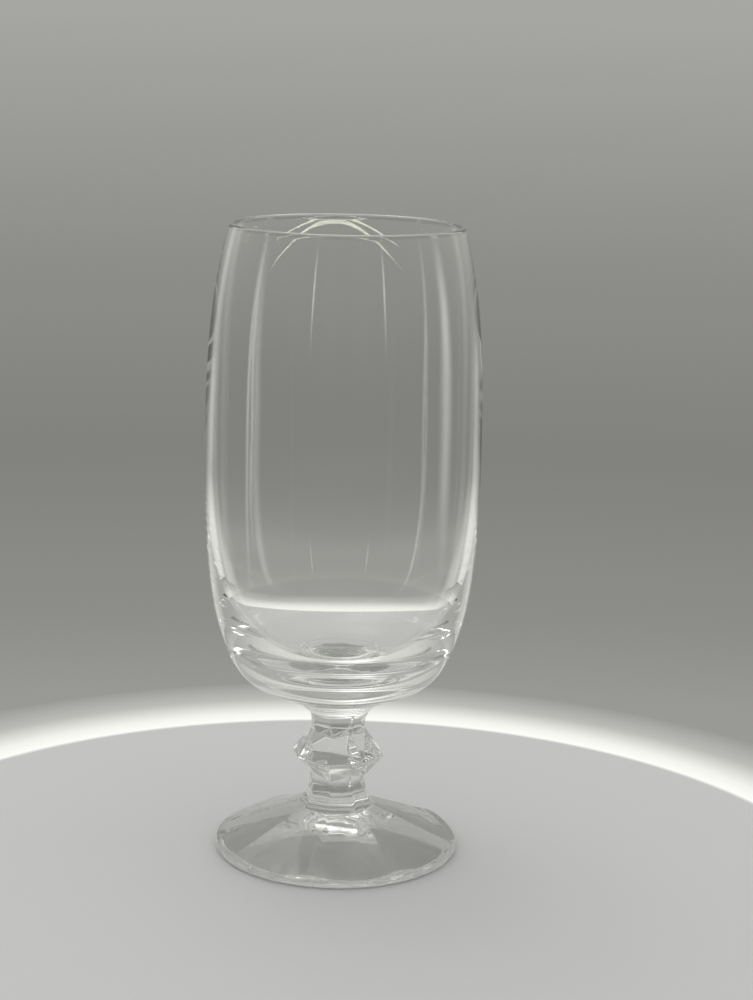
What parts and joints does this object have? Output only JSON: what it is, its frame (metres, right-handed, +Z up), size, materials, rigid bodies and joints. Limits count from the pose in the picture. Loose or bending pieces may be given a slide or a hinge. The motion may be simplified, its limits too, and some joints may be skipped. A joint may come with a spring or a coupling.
{
  "type": "iced beverage glass",
  "caption": "Tall footed clear-glass tumbler for iced drinks: round bowl with a thick base, on a short faceted stem with a knop and a round panelled foot.",
  "frame": {"origin": "centre of the resting face under the foot", "axes": "+Z up along the axis of the glass; the X and Y axes pass through corners of the eight-sided stem and ridges of the foot"},
  "size_m": [0.071, 0.071, 0.165],
  "materials": {
    "bowl_glass": "clear, fire polished",
    "stem_glass": "clear, pressed facets, fire polished",
    "foot_glass": "clear, pressed panels, fire polished"
  },
  "bodies": {
    "root": {"bowl": "bowl_glass", "stem": "stem_glass", "foot": "foot_glass"}
  },
  "joints": []
}
